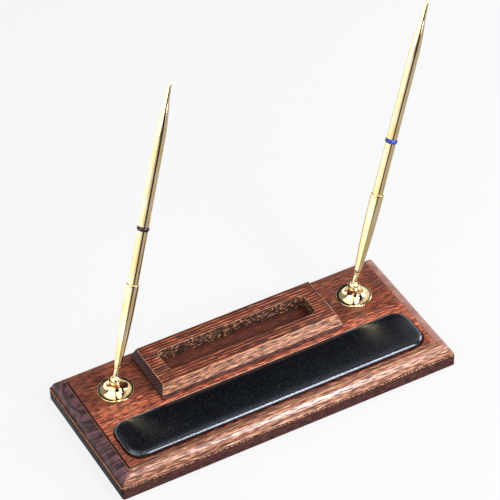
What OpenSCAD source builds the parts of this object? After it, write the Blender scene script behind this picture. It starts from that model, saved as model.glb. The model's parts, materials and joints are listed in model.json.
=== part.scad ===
// Desk stand for a phone and two pens: a moulded board, a slotted block, a leather pad
// and two ball swivels that carry pen funnels. Millimetres, +Z up, +X to the right, +Y to the back.
// The origin is the middle of the felt underside.

/* [Base board] */
// Length of the board
base_l = 252; // [230:1:320]
// Depth of the board, front to back
base_w = 110.5; // [106:0.5:150]
// Thickness of the board
base_t = 18; // [14:0.5:24]
// Height of the small step at the top of the moulding
quirk_h = 1.4; // [0.6:0.1:2]
// Width of the small step at the top of the moulding
quirk_w = 0.6; // [0.2:0.1:1.2]
// Radius of the moulding's round
ovolo_r = 6.8; // [4:0.1:7.5]
// Width of the moulding's round at the two ends
ovolo_end_w = 8.1; // [4:0.1:9]
// Radius of the hollow below the round
cove_r = 0.8; // [0.4:0.1:1.4]
// Width of the flat ledge at the foot of the moulding
ledge_w = 0.8; // [0.3:0.1:1.5]
// Radius of the board's upright corners
base_corner_r = 2; // [0.5:0.5:5]
// Thickness of the felt under the board
felt_t = 1.2; // [0.8:0.1:2]
// Bare margin around the felt
felt_margin = 1; // [1:0.5:8]

/* [Phone block] */
// Length of the block
block_l = 138; // [130:1:150]
// Depth of the block, front to back
block_w = 46.6; // [40:0.2:48]
// Height of the block
block_h = 10.2; // [8:0.1:16]
// Middle of the block, behind the middle of the board
block_y = 20.8; // [19.5:0.1:22.5]
// Height of the plain strip round the foot of the block
strip_h = 3.4; // [1:0.1:4]
// Width of the ledge above the strip
strip_ledge = 0.4; // [0.1:0.1:1]
// Slope of the front and back, measured across
side_bevel = 3.2; // [1:0.1:5]
// Slope of the ends, measured across
end_bevel = 2.2; // [1:0.1:4]
// Length of the slot
slot_l = 112.5; // [90:0.5:114]
// Width of the slot
slot_w = 20.4; // [12:0.2:24]
// Corner radius of the slot
slot_r = 4.5; // [1:0.5:5.5]

/* [Block screws] */
// Radius of the screw's shank
screw_r = 1.75; // [1.5:0.05:2]
// Radius of the screw's head
screw_head_r = 3.5; // [3:0.1:4]
// Length of the screw
screw_l = 22; // [17:0.5:24]
// Depth of the screw heads below the underside of the board
screw_sink = 2; // [1:0.5:4]
// Distance of the screws from the end of the block
screw_inset = 7.6; // [6.5:0.1:9]
// Distance between the two screws at each end
screw_pitch = 26; // [16:1:30]

/* [Leather pad] */
// Length of the pad
pad_l = 223.5; // [180:0.5:226]
// Depth of the pad, front to back
pad_w = 36.6; // [28:0.2:38]
// Middle of the pad, before the middle of the board
pad_y = -25.6; // [-27:0.1:-24]
// Corner radius of the pad
pad_corner_r = 11; // [4:0.5:13]
// Height of the pad above the floor of its recess
pad_h = 5.4; // [4.8:0.1:7]
// Height of the crown along the middle of the pad
pad_crown = 0.6; // [0.2:0.1:1.2]
// Width of the rolled edge
pad_roll = 4.2; // [2.5:0.1:6]
// How far the leather is drawn in at the foot of the pad
pad_tuck = 0.8; // [0.2:0.1:1.2]
// Depth of the recess in the board
recess_d = 2; // [1.7:0.1:3]
// Gap between the pad and the recess
groove_w = 0.6; // [0.3:0.1:1]
// Thickness of the leather
leather_t = 1; // [0.6:0.1:1.4]
// Thickness of the pad's backing
backing_t = 1.5; // [1:0.1:1.6]

/* [Swivels] */
// Distance of each swivel from the end of the board
swivel_inset = 34.4; // [25:0.1:41]
// Distance of the swivels behind the middle of the board
swivel_y = 22; // [12:0.5:30]
// Radius of the flange
flange_r = 12.3; // [11:0.1:14]
// Height of the round bead at the edge of the flange
bead_h = 0.7; // [0.5:0.1:1.6]
// Radius where the hollow sweep of the flange meets the bead
sweep_r = 11.7; // [10:0.1:11.8]
// Radius of the collar's waist, where the sweep ends
waist_r = 4.05; // [3.9:0.05:4.5]
// Height of the collar's waist above the board
waist_h = 8.2; // [7.6:0.1:8.4]
// Radius of the collar's rim
collar_r = 4.25; // [4.1:0.05:5]
// Height of the collar's rim above the middle of the ball
lip_h = 0.9; // [0.6:0.1:1.2]
// Radius of the ball
ball_r = 3.3; // [3:0.05:3.4]
// Height of the middle of the ball above the board
ball_h = 9; // [8.8:0.1:10]
// Running clearance round the ball and its cup
ball_gap = 0.05; // [0.02:0.01:0.1]
// Thickness of the cup under the ball
cup_floor = 0.75; // [0.5:0.05:1]
// Depth of the cup's hollow
cup_d = 1.5; // [0.8:0.1:2]
// Thickness of one disc spring
spring_t = 0.35; // [0.25:0.05:0.5]
// Rise of one disc spring's cone
spring_rise = 0.25; // [0.15:0.05:0.35]
// Radius of the hole in the disc springs
spring_hole_r = 1.5; // [1:0.1:2]
// Radius of the threaded stud
stud_r = 3.95; // [3.6:0.05:4.2]
// Clearance of the stud in the thread of the flange and of the nut
thread_gap = 0.05; // [0.02:0.01:0.1]
// Clearance of the stud in the board and in the washer
stud_gap = 0.25; // [0.1:0.05:0.5]
// Distance of the stud's lower end above the underside of the board
stud_end = 1.2; // [0.5:0.1:1.8]
// Width of the screwdriver slot in the stud
driver_slot_w = 1.2; // [0.8:0.1:1.6]
// Depth of the screwdriver slot in the stud
driver_slot_d = 1.4; // [0.8:0.1:2]
// Radius of the pocket for the nut
pocket_r = 9; // [8.6:0.1:10]
// Depth of the pocket for the nut
pocket_d = 8; // [7.5:0.1:9]
// Radius of the washer
washer_r = 8; // [7.6:0.1:8.5]
// Thickness of the washer
washer_t = 1.6; // [1:0.1:1.8]
// Width of the nut across its flats
nut_af = 13; // [12:0.5:14]
// Height of the nut
nut_h = 4.5; // [3.5:0.1:4.8]

/* [Pen funnels] */
// Lean of the left pen from upright
left_lean = 28.5; // [0:0.5:36]
// Direction of the left pen's lean, from the right towards the back
left_turn = 35; // [0:0.5:90]
// Lean of the right pen from upright
right_lean = 27.5; // [0:0.5:36]
// Direction of the right pen's lean, from the right towards the back
right_turn = 28; // [0:0.5:90]
// Radius of the neck above the ball
neck_r = 1.7; // [1.4:0.05:1.9]
// Distance from the middle of the ball to the foot of the funnel
stem_l = 9.4; // [8.8:0.1:12]
// Radius of the shoulder under the funnel
shoulder_r = 2.1; // [2:0.05:2.4]
// Height of the shoulder under the funnel
shoulder_h = 1.2; // [0.8:0.1:1.6]
// Radius of the spigot inside the funnel's foot
spigot_r = 1.3; // [1:0.05:1.4]
// Radius of the funnel at its foot
foot_r = 2.2; // [2:0.05:2.6]
// Radius of the funnel at its mouth
mouth_r = 4.4; // [4.3:0.05:5]
// Length of the funnel
funnel_l = 58; // [48:0.2:70]
// Fullness of the funnel's curve
funnel_fullness = 2.2; // [1.8:0.1:3]
// Wall of the funnel
funnel_wall = 0.4; // [0.3:0.05:0.45]
// Thickness of the funnel's foot
foot_t = 3; // [2:0.1:4]
// Length of the plastic liner
liner_l = 34.6; // [33:0.2:40]
// Wall of the plastic liner
liner_wall = 0.4; // [0.3:0.05:0.45]
// Clearance of the pieces that are pushed or glued together
joint_gap = 0.02; // [0.01:0.01:0.04]

/* [Pens] */
// Radius of the barrel
barrel_r = 3.6; // [3.4:0.05:3.65]
// Radius of the barrel's bore
barrel_bore_r = 2.8; // [2.5:0.05:2.9]
// Length of the front barrel
barrel_l = 57.8; // [40:0.2:70]
// Length of the nose below the barrel
nose_l = 31; // [24:0.5:31.5]
// Radius of the nose where it meets the barrel
nose_r = 3; // [2.8:0.05:3.1]
// Radius of the nose at the writing point
nose_tip_r = 1.3; // [1.2:0.05:1.4]
// Length of the push-in ends of the nose and the tail
plug_l = 7; // [4:0.5:10]
// Radius of the refill
refill_r = 1; // [0.8:0.05:1.05]
// Length of the refill, writing point left out
refill_l = 84; // [60:1:100]
// Length of the writing point
point_l = 2; // [1:0.1:2.4]
// Radius of the writing point's end
point_r = 0.4; // [0.3:0.05:0.6]
// Radius of the middle ring
ring_r = 4.3; // [3.9:0.05:4.6]
// Height of the middle ring
ring_h = 2.6; // [1.5:0.1:5]
// Length of the tail
tail_l = 83.9; // [60:0.1:110]
// Length of the tail's taper
taper_l = 26.3; // [15:0.1:40]
// Radius of the tail's end
tail_end_r = 2; // [1.8:0.05:2.4]
// Fullness of the tail's taper
taper_fullness = 1.9; // [1.4:0.1:2.5]
// Radius of the tail's bore
tail_bore_r = 2.4; // [1.6:0.05:2.6]
// Depth of the tail's bore above the ring
tail_bore_d = 56; // [20:1:58]
// Length of the end piece
finial_l = 13.7; // [8:0.1:20]
// Radius of the end piece at its foot
finial_r = 1.8; // [1.6:0.05:2]
// Radius of the end piece at its tip
finial_tip_r = 1.1; // [0.8:0.05:1.3]
// Radius of the end piece's push-in end
finial_plug_r = 1.2; // [0.8:0.05:1.3]
// Length of the end piece's push-in end
finial_plug_l = 5; // [3:0.5:7]

/* [Hidden] */
$fn = 96;
curve_steps = 14;
corner_steps = 8;
roll_steps = 6;
crown_steps = 4;
overcut = 1;

wood = "#6b3524";
block_wood = "#7a3b26";
gold = "#e3c878";
steel = "#b9bcc0";
leather = "#17181c";

// Heights, from the felt upwards
board_z = felt_t;
top_z = board_z + base_t;
recess_z = top_z - recess_d;

// Moulding
mould_h = quirk_h + ovolo_r + cove_r;
fascia_h = base_t - mould_h;

// Width of the pad's flat spine
spine_w = pad_tuck + leather_t;

// Swivel places, and heights above the board
swivel_x = base_l / 2 - swivel_inset;
socket_r = ball_r + ball_gap;
rim_z = ball_h + lip_h;
cup_z = ball_h - socket_r - cup_floor;
cup_h = cup_floor + cup_d;
spring_h = spring_t + spring_rise;
stud_top = cup_z - 2 * spring_h - joint_gap;
bore_step = stud_top + spring_h;
pocket_roof = pocket_d - base_t;
washer_z = pocket_roof - washer_t;
nut_z = washer_z - nut_h;
nut_r = nut_af / 2 / cos(30);

// Places along the pen's axis, from the middle of the ball
liner_foot = stem_l + foot_t;
liner_top = liner_foot + liner_l;
mouth_s = stem_l + funnel_l;
nose_foot = liner_top - nose_l;
ring_foot = liner_top + barrel_l;
tail_foot = ring_foot + ring_h;
tail_top = tail_foot + tail_l;
finial_top = tail_top + finial_l;
plug_r = barrel_bore_r - joint_gap;
nose_bore_r = refill_r + joint_gap;

// Radius of the funnel's outside at a distance from the ball
function funnel_r(s) =
    foot_r + (mouth_r - foot_r) * (1 - pow(max(0, 1 - (s - stem_l) / funnel_l), funnel_fullness));

// Radius of the tail at a distance from the ball
function tail_r(s) =
    barrel_r - (barrel_r - tail_end_r)
        * pow(max(0, (s - tail_top + taper_l) / taper_l), taper_fullness);

// Evenly spaced values from a to b
function spread(a, b, steps) = [for (i = [0 : steps]) a + (b - a) * i / steps];

// Points of an elliptical arc about c, with radii rx and ry
function arc(c, rx, ry, from, to, steps) =
    [for (a = spread(from, to, steps)) [c[0] + rx * cos(a), c[1] + ry * sin(a)]];

// Rectangle with round corners, about the origin
module rounded_rect(l, w, r) {
    square([l - 2 * r, w], center = true);
    square([l, w - 2 * r], center = true);
    for (x = [-1, 1], y = [-1, 1])
        translate([x * (l / 2 - r), y * (w / 2 - r)]) circle(r);
}

// Cross-section of the moulded board, standing on its underside
module board_section(w, round_w) {
    top_w = w - 2 * (quirk_w + round_w + cove_r + ledge_w);
    round_x = top_w / 2 + quirk_w;
    round_y = fascia_h + cove_r;
    translate([-w / 2, 0]) square([w, fascia_h]);
    translate([-top_w / 2, 0]) square([top_w, base_t]);
    translate([-round_x, 0]) square([2 * round_x, round_y + ovolo_r]);
    difference() {
        translate([ledge_w - w / 2, 0]) square([w - 2 * ledge_w, round_y]);
        for (x = [-1, 1]) translate([x * (w / 2 - ledge_w), round_y]) circle(cove_r);
    }
    for (x = [-1, 1]) translate([x * round_x, round_y]) scale([round_w / ovolo_r, 1]) circle(ovolo_r);
}

// Cross-section of the phone block, standing on its foot
module block_section(w, bevel) {
    foot = w / 2;
    face = foot - strip_ledge;
    polygon([
        [-foot, 0], [foot, 0], [foot, strip_h], [face, strip_h],
        [face - bevel, block_h], [bevel - face, block_h], [-face, strip_h], [-foot, strip_h]
    ]);
}

// Carries a section along X or along Y, about the origin
module along_x(l) {
    translate([-l / 2, 0, 0]) rotate([90, 0, 90]) linear_extrude(l) children();
}

module along_y(l) {
    translate([0, l / 2, 0]) rotate([90, 0, 0]) linear_extrude(l) children();
}

// Puts children at each screw, on the underside of the board
module at_screws() {
    for (x = [-1, 1], y = [-1, 1])
        translate([x * (block_l / 2 - screw_inset), block_y + y * screw_pitch / 2, board_z])
            children();
}

// Puts children on top of the board at one swivel, -1 for the left and 1 for the right
module at_swivel(side) {
    translate([side * swivel_x, swivel_y, top_z]) children();
}

// Puts children at the ball of one swivel, with +Z along the pen
module on_left_pen() {
    at_swivel(-1) translate([0, 0, ball_h]) rotate([0, left_lean, left_turn]) children();
}

module on_right_pen() {
    at_swivel(1) translate([0, 0, ball_h]) rotate([0, right_lean, right_turn]) children();
}

// Screw with its head down, grown all round by a gap
module screw_shape(gap) {
    head_h = screw_head_r - screw_r;
    point_h = 2 * screw_r;
    shank_l = screw_l - head_h - point_h;
    translate([0, 0, screw_sink]) {
        cylinder(head_h, screw_head_r + gap, screw_r + gap);
        translate([0, 0, head_h - gap]) cylinder(shank_l + gap, r = screw_r + gap);
        translate([0, 0, screw_l - point_h]) cylinder(point_h, screw_r + gap, gap / 2);
    }
}

// One ring of the pad's outline at an inset, as points at a height
function pad_ring(inset, z) =
    let (
        reach = pad_w / 2 - spine_w,
        r = spine_w + (pad_corner_r - spine_w) * (1 - inset / reach),
        x = pad_l / 2 - inset - r,
        y = pad_w / 2 - inset - r,
        corners = [[x, y, 0], [-x, y, 90], [-x, -y, 180], [x, -y, 270]]
    )
    [for (c = corners, a = spread(c[2], c[2] + 90, corner_steps))
        [c[0] + r * cos(a), c[1] + r * sin(a), z]];

// Rings of the pad from a height on its drawn-in side, over the rolled edge, to the crown
function pad_rings(skin, from_z) =
    let (
        squeeze = (pad_h - skin) / pad_h,
        roll_h = pad_h - recess_d - pad_crown,
        crown_w = pad_w / 2 - pad_roll - spine_w - 2 * leather_t,
        foot = [[pad_tuck * (1 - from_z / squeeze / recess_d), from_z / squeeze]],
        roll = [for (a = spread(0, 90, roll_steps)) [pad_roll * (1 - cos(a)), recess_d + roll_h * sin(a)]],
        crown = [for (i = [1 : crown_steps]) let (u = i / crown_steps)
            [pad_roll + crown_w * u, recess_d + roll_h + pad_crown * (1 - pow(1 - u, 2))]]
    )
    [for (p = concat(foot, roll, crown)) pad_ring(p[0] + skin, p[1] * squeeze)];

function reversed(list) = [for (i = [len(list) - 1 : -1 : 0]) list[i]];

// Solid through a list of rings, closed by the first and the last
module loft(rings) {
    n = len(rings[0]);
    last = (len(rings) - 1) * n;
    sides = [for (k = [0 : len(rings) - 2], i = [0 : n - 1])
        let (a = k * n + i, b = k * n + (i + 1) % n)
        each [[a, a + n, b], [b, a + n, b + n]]];
    foot = [for (i = [1 : n - 2]) [0, i, i + 1]];
    top = [for (i = [1 : n - 2]) [last, last + i + 1, last + i]];
    polyhedron([for (ring = rings) each ring], concat(sides, foot, top));
}

module at_pad() {
    translate([0, pad_y, recess_z]) children();
}

// Pieces of the stand
module base_board() {
    color(wood) difference() {
        translate([0, 0, board_z]) intersection() {
            along_x(base_l) board_section(base_w, ovolo_r);
            along_y(base_w) board_section(base_l, ovolo_end_w);
            linear_extrude(base_t) rounded_rect(base_l, base_w, base_corner_r);
        }
        at_pad() linear_extrude(recess_d + overcut)
            rounded_rect(pad_l + 2 * groove_w, pad_w + 2 * groove_w, pad_corner_r + groove_w);
        for (side = [-1, 1]) at_swivel(side) {
            translate([0, 0, -base_t - overcut]) cylinder(base_t + 2 * overcut, r = stud_r + stud_gap);
            translate([0, 0, -base_t - overcut]) cylinder(pocket_d + overcut, r = pocket_r);
        }
        at_screws() {
            screw_shape(joint_gap);
            translate([0, 0, -overcut]) cylinder(screw_sink + overcut, r = screw_head_r + joint_gap);
        }
    }
}

module felt_sheet() {
    color("#2c3a30") linear_extrude(felt_t)
        rounded_rect(base_l - 2 * felt_margin, base_w - 2 * felt_margin, base_corner_r);
}

module phone_block() {
    color(block_wood) difference() {
        translate([0, block_y, top_z]) difference() {
            intersection() {
                along_x(block_l) block_section(block_w, side_bevel);
                along_y(block_w) block_section(block_l, end_bevel);
            }
            translate([0, 0, -overcut]) linear_extrude(block_h + 2 * overcut)
                rounded_rect(slot_l, slot_w, slot_r);
        }
        at_screws() screw_shape(joint_gap);
    }
}

module block_screws() {
    color(steel) at_screws() screw_shape(0);
}

module pad_board() {
    margin = pad_tuck + leather_t + joint_gap;
    color("#8a6f4d") at_pad() linear_extrude(backing_t)
        rounded_rect(pad_l - 2 * margin, pad_w - 2 * margin, pad_corner_r - margin);
}

module pad_filling() {
    color("#d8d2bd") at_pad() loft(pad_rings(leather_t, backing_t));
}

module pad_cover() {
    color(leather) at_pad() loft(concat(reversed(pad_rings(leather_t, 0)), pad_rings(0, 0)));
}

// Pieces of a swivel, standing on the board
module escutcheon() {
    bead = bead_h / 2;
    outside = concat(
        [[0, 0]],
        arc([flange_r - bead, bead], bead, bead, -90, 90, curve_steps),
        arc([sweep_r, waist_h], sweep_r - waist_r, waist_h - bead_h, 270, 180, 2 * curve_steps),
        arc([collar_r - bead, rim_z - bead], bead, bead, 0, 90, curve_steps),
        [[0, rim_z]]
    );
    color(gold) difference() {
        rotate_extrude() polygon(outside);
        translate([0, 0, -overcut]) cylinder(bore_step + overcut, r = stud_r + thread_gap);
        cylinder(ball_h, r = socket_r);
        translate([0, 0, ball_h]) sphere(socket_r);
    }
}

module seat_cup() {
    color("#e8e4d8") difference() {
        translate([0, 0, cup_z]) cylinder(cup_h, r = ball_r);
        translate([0, 0, ball_h]) sphere(socket_r);
    }
}

// Two disc springs, set rim to rim
module spring_washers() {
    inner = spring_hole_r;
    outer = ball_r - joint_gap;
    lower = [[inner, 0], [outer, spring_rise], [outer, spring_h], [inner, spring_t]];
    color(steel) translate([0, 0, stud_top]) {
        rotate_extrude() polygon(lower);
        translate([0, 0, 2 * spring_h]) mirror([0, 0, 1]) rotate_extrude() polygon(lower);
    }
}

module stud() {
    foot = stud_end - base_t;
    color(steel) difference() {
        translate([0, 0, foot]) cylinder(stud_top - foot, r = stud_r);
        translate([-stud_r - overcut, -driver_slot_w / 2, foot - overcut])
            cube([2 * (stud_r + overcut), driver_slot_w, driver_slot_d + overcut]);
    }
}

module washer() {
    color(steel) translate([0, 0, washer_z]) difference() {
        cylinder(washer_t, r = washer_r);
        translate([0, 0, -overcut]) cylinder(washer_t + 2 * overcut, r = stud_r + stud_gap);
    }
}

module nut() {
    color(steel) translate([0, 0, nut_z]) difference() {
        cylinder(nut_h, r = nut_r, $fn = 6);
        translate([0, 0, -overcut]) cylinder(nut_h + 2 * overcut, r = stud_r + thread_gap);
    }
}

// Pieces on the pen's axis, measured from the middle of the ball
module ball_stem() {
    color(gold) {
        sphere(ball_r);
        cylinder(stem_l, r = neck_r);
        translate([0, 0, stem_l - shoulder_h]) cylinder(shoulder_h, neck_r, shoulder_r);
        cylinder(liner_foot - joint_gap, r = spigot_r);
    }
}

module funnel() {
    outside = [for (s = spread(stem_l, mouth_s, 2 * curve_steps)) [funnel_r(s), s]];
    inside = [for (s = spread(mouth_s, liner_foot, 2 * curve_steps)) [funnel_r(s) - funnel_wall, s]];
    hole_r = spigot_r + joint_gap;
    color(gold) rotate_extrude()
        polygon(concat([[hole_r, stem_l]], outside, inside, [[hole_r, liner_foot]]));
}

module funnel_liner() {
    skin = funnel_wall + joint_gap;
    floor_s = liner_foot + 2 * liner_wall;
    outside = [for (s = spread(liner_foot, liner_top, 2 * curve_steps)) [funnel_r(s) - skin, s]];
    inside = [for (s = spread(liner_top, floor_s, 2 * curve_steps)) [funnel_r(s) - skin - liner_wall, s]];
    color("#26282b") rotate_extrude()
        polygon(concat([[0, liner_foot]], outside, inside, [[0, floor_s]]));
}

module pen_nose() {
    color(gold) rotate_extrude() polygon([
        [nose_bore_r, nose_foot], [nose_tip_r, nose_foot], [nose_r, liner_top],
        [plug_r, liner_top], [plug_r, liner_top + plug_l], [nose_bore_r, liner_top + plug_l]
    ]);
}

module pen_refill() {
    color("#8d8f94") {
        translate([0, 0, nose_foot]) cylinder(refill_l, r = refill_r);
        translate([0, 0, nose_foot - point_l]) cylinder(point_l, point_r, refill_r);
    }
}

module pen_barrel() {
    color(gold) translate([0, 0, liner_top]) difference() {
        cylinder(barrel_l, r = barrel_r);
        translate([0, 0, -overcut]) cylinder(barrel_l + 2 * overcut, r = barrel_bore_r);
    }
}

module pen_ring(ring_colour) {
    round_r = ring_r - barrel_r;
    color(ring_colour) rotate_extrude() polygon(concat(
        [[barrel_bore_r, ring_foot]],
        arc([barrel_r, ring_foot + ring_h / 2], round_r, ring_h / 2, -90, 90, curve_steps),
        [[barrel_bore_r, tail_foot]]
    ));
}

module pen_tail() {
    hole_r = finial_plug_r + joint_gap;
    hole_foot = tail_top - finial_plug_l - joint_gap;
    taper = [for (s = spread(tail_top - taper_l, tail_top, curve_steps)) [tail_r(s), s]];
    color(gold) difference() {
        rotate_extrude() polygon(concat(
            [[0, ring_foot - plug_l], [plug_r, ring_foot - plug_l]],
            [[plug_r, tail_foot], [barrel_r, tail_foot]],
            taper,
            [[0, tail_top]]
        ));
        translate([0, 0, ring_foot - plug_l - overcut])
            cylinder(plug_l + ring_h + tail_bore_d + overcut, r = tail_bore_r);
        translate([0, 0, hole_foot]) cylinder(finial_plug_l + overcut, r = hole_r);
    }
}

module pen_finial() {
    tip_z = finial_top - finial_tip_r;
    color(gold) rotate_extrude() polygon(concat(
        [[0, tail_top - finial_plug_l], [finial_plug_r, tail_top - finial_plug_l]],
        [[finial_plug_r, tail_top], [finial_r, tail_top]],
        arc([0, tip_z], finial_tip_r, finial_tip_r, 0, 90, curve_steps)
    ));
}

// Left swivel and pen
module left_escutcheon() { at_swivel(-1) escutcheon(); }
module left_ball_stem() { on_left_pen() ball_stem(); }
module left_seat_cup() { at_swivel(-1) seat_cup(); }
module left_spring_washers() { at_swivel(-1) spring_washers(); }
module left_stud() { at_swivel(-1) stud(); }
module left_washer() { at_swivel(-1) washer(); }
module left_nut() { at_swivel(-1) nut(); }
module left_funnel() { on_left_pen() funnel(); }
module left_funnel_liner() { on_left_pen() funnel_liner(); }
module left_pen_nose() { on_left_pen() pen_nose(); }
module left_pen_refill() { on_left_pen() pen_refill(); }
module left_pen_barrel() { on_left_pen() pen_barrel(); }
module left_pen_ring() { on_left_pen() pen_ring("#141414"); }
module left_pen_tail() { on_left_pen() pen_tail(); }
module left_pen_finial() { on_left_pen() pen_finial(); }

// Right swivel and pen
module right_escutcheon() { at_swivel(1) escutcheon(); }
module right_ball_stem() { on_right_pen() ball_stem(); }
module right_seat_cup() { at_swivel(1) seat_cup(); }
module right_spring_washers() { at_swivel(1) spring_washers(); }
module right_stud() { at_swivel(1) stud(); }
module right_washer() { at_swivel(1) washer(); }
module right_nut() { at_swivel(1) nut(); }
module right_funnel() { on_right_pen() funnel(); }
module right_funnel_liner() { on_right_pen() funnel_liner(); }
module right_pen_nose() { on_right_pen() pen_nose(); }
module right_pen_refill() { on_right_pen() pen_refill(); }
module right_pen_barrel() { on_right_pen() pen_barrel(); }
module right_pen_ring() { on_right_pen() pen_ring("#1c3fae"); }
module right_pen_tail() { on_right_pen() pen_tail(); }
module right_pen_finial() { on_right_pen() pen_finial(); }

base_board();
felt_sheet();
phone_block();
block_screws();
pad_board();
pad_filling();
pad_cover();
left_escutcheon();
left_ball_stem();
left_seat_cup();
left_spring_washers();
left_stud();
left_washer();
left_nut();
left_funnel();
left_funnel_liner();
left_pen_nose();
left_pen_refill();
left_pen_barrel();
left_pen_ring();
left_pen_tail();
left_pen_finial();
right_escutcheon();
right_ball_stem();
right_seat_cup();
right_spring_washers();
right_stud();
right_washer();
right_nut();
right_funnel();
right_funnel_liner();
right_pen_nose();
right_pen_refill();
right_pen_barrel();
right_pen_ring();
right_pen_tail();
right_pen_finial();
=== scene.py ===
import json
import math
import bmesh
import bpy
from mathutils import Matrix, Vector


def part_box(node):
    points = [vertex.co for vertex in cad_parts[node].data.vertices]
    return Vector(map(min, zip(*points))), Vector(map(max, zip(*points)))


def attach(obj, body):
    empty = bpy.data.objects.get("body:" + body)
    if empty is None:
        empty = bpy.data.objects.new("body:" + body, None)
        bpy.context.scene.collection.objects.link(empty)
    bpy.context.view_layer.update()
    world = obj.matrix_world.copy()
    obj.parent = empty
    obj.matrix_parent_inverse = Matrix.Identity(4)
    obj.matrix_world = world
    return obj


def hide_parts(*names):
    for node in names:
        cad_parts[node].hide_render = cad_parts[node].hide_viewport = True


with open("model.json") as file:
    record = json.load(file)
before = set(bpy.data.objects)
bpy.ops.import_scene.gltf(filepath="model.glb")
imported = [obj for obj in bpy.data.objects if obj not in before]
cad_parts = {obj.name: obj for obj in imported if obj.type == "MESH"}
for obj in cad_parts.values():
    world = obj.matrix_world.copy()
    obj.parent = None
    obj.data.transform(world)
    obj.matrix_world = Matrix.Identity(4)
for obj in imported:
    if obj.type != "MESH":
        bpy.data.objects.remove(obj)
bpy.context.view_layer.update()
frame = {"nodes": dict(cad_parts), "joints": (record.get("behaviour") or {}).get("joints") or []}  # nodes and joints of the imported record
joints = {joint["name"]: joint for joint in frame["joints"]}
print("frame loaded:", len(frame["nodes"]), "CAD nodes")

bpy.context.scene.view_settings.view_transform = "Standard"


# Shader maths on sockets
class Wire:
    def __init__(self, tree, socket=None):
        self.tree = tree
        self.socket = socket

    # Links a wire to a socket, or sets the socket to a value or to the colour of a hex code
    def feed(self, target, value):
        if isinstance(value, Wire):
            self.tree.links.new(value.socket, target)
        else:
            target.default_value = paint(value) if isinstance(value, str) else value

    def add(self, kind, settings=None, inputs=None, output=0):
        node = self.tree.nodes.new(kind)
        for name, value in (settings or {}).items():
            setattr(node, name, value)
        for key, value in (inputs or {}).items():
            self.feed(node.inputs[key], value)
        return Wire(self.tree, node.outputs[output])

    def maths(self, operation, first, second=0.0):
        return self.add("ShaderNodeMath", {"operation": operation}, {0: first, 1: second})

    def __add__(self, other):
        return self.maths("ADD", self, other)

    __radd__ = __add__

    def __sub__(self, other):
        return self.maths("SUBTRACT", self, other)

    def __rsub__(self, other):
        return self.maths("SUBTRACT", other, self)

    def __mul__(self, other):
        return self.maths("MULTIPLY", self, other)

    __rmul__ = __mul__

    def __truediv__(self, other):
        return self.maths("DIVIDE", self, other)

    def fract(self):
        return self.maths("FRACT", self)

    def root(self):
        return self.maths("SQRT", self)

    def size(self):
        return self.maths("ABSOLUTE", self)

    # 0 below start, 1 above end, with a soft step between
    def step(self, start, end):
        return self.add("ShaderNodeMapRange", {"interpolation_type": "SMOOTHSTEP"},
                        {0: self, 1: start, 2: end})

    def part(self, axis):
        return self.add("ShaderNodeSeparateXYZ", None, {0: self}, axis)

    def stretched(self, scale):
        return self.add("ShaderNodeMapping", None, {"Vector": self, "Scale": scale})

    def noise(self, scale, detail=2.0, roughness=0.5):
        return self.add("ShaderNodeTexNoise", None, {"Vector": self.stretched(scale), "Scale": 1.0,
                                                     "Detail": detail, "Roughness": roughness})

    def cells(self, scale, feature="F1"):
        return self.add("ShaderNodeTexVoronoi", {"feature": feature},
                        {"Vector": self.stretched(scale), "Scale": 1.0})

    # Mix of two colours by a mask
    def mixed(self, first, second, blend="MIX"):
        return self.add("ShaderNodeMix", {"data_type": "RGBA", "blend_type": blend},
                        {0: self, 6: first, 7: second}, 2)

    # Colour multiplied by a tint, as far as the mask goes
    def tinted(self, colour, tint):
        return self.mixed(colour, tint, "MULTIPLY")

    # Normal from a height, by the depth of the relief and its strength
    def bump(self, distance, strength):
        return self.add("ShaderNodeBump", None,
                        {"Strength": strength, "Distance": distance, "Height": self})


# Linear colour from an sRGB hex code
def paint(code):
    values = [int(code[i:i + 2], 16) / 255 for i in (0, 2, 4)]
    linear = [v / 12.92 if v <= 0.04045 else ((v + 0.055) / 1.055) ** 2.4 for v in values]
    return (*linear, 1.0)


# New material and its Object coordinates
def startFinish(name):
    material = bpy.data.materials.new(name)
    material.use_nodes = True
    return material, Wire(material.node_tree).add("ShaderNodeTexCoord", output="Object")


# Feeds the sockets of a material's shader
def connect(material, place, values):
    shader = material.node_tree.nodes["Principled BSDF"]
    for name, value in values.items():
        place.feed(shader.inputs[name], value)
    return material


# The same scale along all three axes
def even(scale):
    return (scale,) * 3


# Stained oak: growth rings about a pith line, fibres and open pores along X
boardGrain = {"pith": (0.030, 0.054), "ringPitch": 0.0052, "wave": 0.0012,
              "dark": "622b1b", "mid": "7a3824", "light": "ab5c3e", "pore": "33140d",
              "poreSize": (210, 1900), "ringEdge": (0.25, 0.75), "ringDepth": 0.12, "poreDepth": 0.85,
              "roughness": 0.33, "coat": 0.3, "shine": 0.4,
              "rub": (0.50, 0.58), "quirkShade": 0.25, "crest": 0.6}
# Front moulding: paler colours as painted light from the front, finer ring lines of the grain
frontGrain = {**boardGrain, "dark": "7f4634", "mid": "be7752", "light": "e2aa88", "pore": "48261d",
              "ringPitch": 0.0019, "poreSize": (160, 1500), "ringEdge": (0.55, 0.75), "ringDepth": 0.5,
              "roughness": 0.28, "coat": 0.75, "shine": 0.6, "quirkShade": 0.6}
# Fascia: darker stain, darkened further as painted shade for upright faces that get little light
fasciaGrain = {**boardGrain, "dark": "422625", "mid": "55322f", "light": "6d453e", "pore": "2a1618",
               "ringDepth": 0.1, "poreDepth": 0.5, "roughness": 0.55, "coat": 0.0, "shine": 0.15}
blockGrain = {"pith": (-0.4012, 0.062), "ringPitch": 0.0026, "wave": 0.0006,
              "dark": "32110a", "mid": "a04a30", "light": "d87e57", "pore": "260d08",
              "poreSize": (130, 2000), "ringEdge": (0.35, 0.65), "ringDepth": 0.92, "poreDepth": 0.5,
              "roughness": 0.34, "coat": 0.3, "shine": 0.4}
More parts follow.
